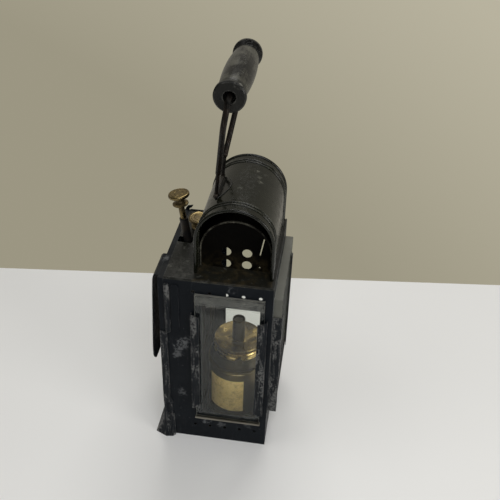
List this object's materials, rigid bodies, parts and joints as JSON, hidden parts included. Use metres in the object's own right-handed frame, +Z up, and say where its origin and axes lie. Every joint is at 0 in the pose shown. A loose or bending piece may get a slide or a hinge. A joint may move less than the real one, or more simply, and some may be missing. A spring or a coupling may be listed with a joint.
{
  "type": "railway signal hand lamp",
  "caption": "Black sheet-metal signal hand lamp with a vaulted hood, sliding glass panes, red and green pull-up slides, an oil burner and a folding bail with a wooden grip.",
  "frame": {"origin": "centre of the flat underside of the rectangular base, which the lamp stands on", "axes": "+Z up, +X to the side with the wide glass, -Y to the front pane, -X to the signal lens and the colour slides"},
  "size_m": [0.1243, 0.1291, 0.3911],
  "materials": {
    "black_paint": "worn gloss black paint on sheet metal",
    "hood_paint": "worn black paint, dusty",
    "worn_channel": "black paint worn through to grey metal",
    "dark_steel": "browned steel wire",
    "wood_grip": "turned wood with worn black paint",
    "brass": "aged brass",
    "dark_brass": "tarnished brass",
    "clear_glass": "old clear glass",
    "red_glass": "ruby glass",
    "green_glass": "signal green glass",
    "tank_plate": "blank yellowed plate",
    "wick_cotton": "woven cotton"
  },
  "bodies": {
    "casing": {"casing_shell": "black_paint", "base_tray": "black_paint", "roof_plate": "black_paint", "signal_casing": "black_paint", "corner_tab": "black_paint", "corner_guide": "black_paint", "partition": "black_paint", "belt_hook": "black_paint", "front_ledge": "black_paint", "rear_ledge": "black_paint", "side_ledge": "black_paint", "rear_catch": "black_paint", "rivets": "black_paint", "slide_guide_front": "black_paint", "slide_guide_rear": "black_paint", "front_baffle": "black_paint", "rear_baffle": "black_paint", "flue_cap": "black_paint", "hood_shell": "hood_paint", "hood_rims": "hood_paint", "bail_patch": "hood_paint", "front_left_channel": "worn_channel", "front_right_channel": "worn_channel", "rear_left_channel": "worn_channel", "rear_right_channel": "worn_channel", "side_front_channel": "worn_channel", "side_rear_channel": "worn_channel", "corner_strip": "worn_channel", "foot_skirt": "worn_channel", "hinge_sleeve": "dark_steel", "reservoir": "brass", "lens_ring": "brass", "reservoir_seat": "dark_brass", "signal_lens": "clear_glass", "reservoir_plate": "tank_plate"},
    "bail": {"hinge_pin": "dark_steel", "bail_links": "dark_steel", "bail_wire": "dark_steel"},
    "grip": {"bail_grip": "wood_grip"},
    "front_glass": {"front_pane": "clear_glass"},
    "rear_glass": {"rear_pane": "clear_glass"},
    "side_glass": {"side_pane": "clear_glass"},
    "red_slide": {"red_slide_frame": "dark_brass", "red_glass": "red_glass", "red_rod": "dark_steel", "red_rod_tube": "brass", "red_knob": "brass"},
    "green_slide": {"green_slide_frame": "dark_brass", "green_glass": "green_glass", "green_rod": "dark_steel", "green_rod_tube": "brass", "green_knob": "brass"},
    "burner": {"burner_collar": "dark_brass", "burner_ring": "brass", "burner_dish": "brass", "wick_tube": "dark_brass"},
    "wick_carrier": {"wick": "wick_cotton"},
    "wick_winder": {"wick_spindle": "dark_brass", "wick_knob": "dark_brass"}
  },
  "joints": [
    {"name": "bail_swing", "type": "hinge", "parent": "casing", "child": "bail", "pos_m": [-0.00955, 0, 0.272], "axis": [0, 1, 0], "range_deg": [-125, 0]},
    {"name": "grip_spin", "type": "hinge", "parent": "bail", "child": "grip", "pos_m": [0.0063, 0, 0.37787], "axis": [0, 1, 0], "continuous": true},
    {"name": "front_pane_lift", "type": "slide", "parent": "casing", "child": "front_glass", "axis": [0, 0, 1], "range_m": [0, 0.15]},
    {"name": "rear_pane_lift", "type": "slide", "parent": "casing", "child": "rear_glass", "axis": [0, 0, 1], "range_m": [0, 0.15]},
    {"name": "side_pane_lift", "type": "slide", "parent": "casing", "child": "side_glass", "axis": [0, 0, 1], "range_m": [0, 0.15]},
    {"name": "red_slide_lift", "type": "slide", "parent": "casing", "child": "red_slide", "axis": [0, 0, 1], "range_m": [-0.036, 0]},
    {"name": "green_slide_lift", "type": "slide", "parent": "casing", "child": "green_slide", "axis": [0, 0, 1], "range_m": [0, 0.0405]},
    {"name": "burner_unscrew", "type": "hinge", "parent": "casing", "child": "burner", "pos_m": [0.0117, 0, 0.07], "axis": [0, 0, 1], "continuous": true},
    {"name": "wick_wind", "type": "hinge", "parent": "burner", "child": "wick_winder", "pos_m": [0.0167, 0, 0.086], "axis": [0, 1, 0], "range_deg": [0, 229.19]},
    {"name": "wick_lift", "type": "slide", "parent": "burner", "child": "wick_carrier", "axis": [0, 0, 1], "range_m": [0, 0.008]}
  ],
  "couplings": [
    {"joint": "wick_wind", "follows": "wick_lift", "rad_per_m": 500}
  ]
}
